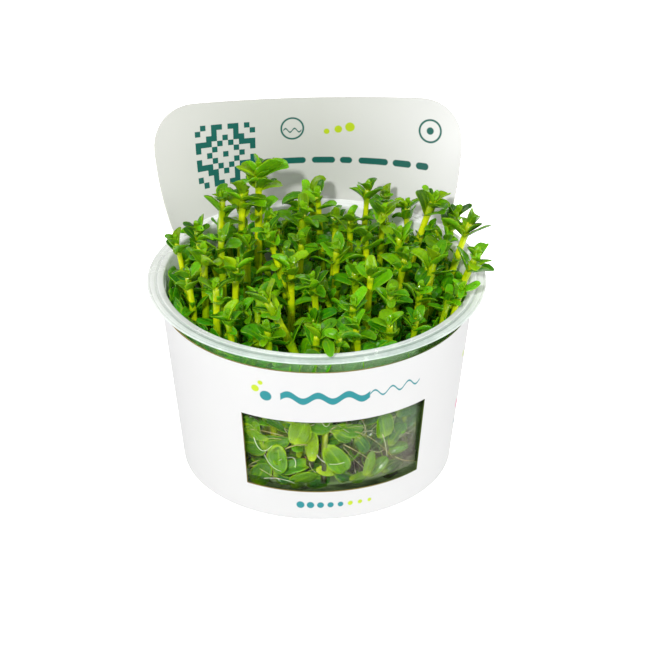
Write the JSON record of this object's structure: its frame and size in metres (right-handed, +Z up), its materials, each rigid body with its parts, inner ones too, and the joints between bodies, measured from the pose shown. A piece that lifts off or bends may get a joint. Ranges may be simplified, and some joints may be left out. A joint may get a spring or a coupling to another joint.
{
  "type": "tissue culture lemon bacopa",
  "caption": "Clear round culture cup of lemon bacopa shoots rooted in gel, in a card sleeve with a front window and a tall rounded header card at the back.",
  "frame": {"origin": "where the cup's axis meets the surface that the cup stands on, on the cup's flat bottom", "axes": "+Z up along the cup's axis, -Y towards the sleeve's window, +Y towards the header card"},
  "size_m": [0.1029, 0.1034, 0.0926],
  "materials": {
    "clear_plastic": "thin, slightly milky see-through moulded plastic",
    "coated_card": "smooth white coated card with a soft sheen and small printed marks",
    "culture_gel": "wet, clear, faintly yellow-green gel",
    "bacopa_leaf": "succulent wet green leaves on yellow-green stems"
  },
  "bodies": {
    "root": {"cup": "clear_plastic", "sleeve": "coated_card", "nutrient_gel": "culture_gel", "shoot_01": "bacopa_leaf", "shoot_02": "bacopa_leaf", "shoot_03": "bacopa_leaf", "shoot_04": "bacopa_leaf", "shoot_05": "bacopa_leaf", "shoot_06": "bacopa_leaf", "shoot_07": "bacopa_leaf", "shoot_08": "bacopa_leaf", "shoot_09": "bacopa_leaf", "shoot_10": "bacopa_leaf", "shoot_11": "bacopa_leaf", "shoot_12": "bacopa_leaf", "shoot_13": "bacopa_leaf", "shoot_14": "bacopa_leaf", "shoot_15": "bacopa_leaf", "shoot_16": "bacopa_leaf", "shoot_17": "bacopa_leaf", "shoot_18": "bacopa_leaf", "shoot_19": "bacopa_leaf", "shoot_20": "bacopa_leaf", "shoot_21": "bacopa_leaf", "shoot_22": "bacopa_leaf", "shoot_23": "bacopa_leaf", "shoot_24": "bacopa_leaf", "shoot_25": "bacopa_leaf", "shoot_26": "bacopa_leaf", "shoot_27": "bacopa_leaf", "shoot_28": "bacopa_leaf", "shoot_29": "bacopa_leaf", "shoot_30": "bacopa_leaf", "shoot_31": "bacopa_leaf", "shoot_32": "bacopa_leaf", "shoot_33": "bacopa_leaf", "shoot_34": "bacopa_leaf", "shoot_35": "bacopa_leaf", "shoot_36": "bacopa_leaf", "shoot_37": "bacopa_leaf", "shoot_38": "bacopa_leaf", "shoot_39": "bacopa_leaf", "shoot_40": "bacopa_leaf", "shoot_41": "bacopa_leaf", "shoot_42": "bacopa_leaf", "shoot_43": "bacopa_leaf", "shoot_44": "bacopa_leaf", "shoot_45": "bacopa_leaf"}
  },
  "joints": []
}
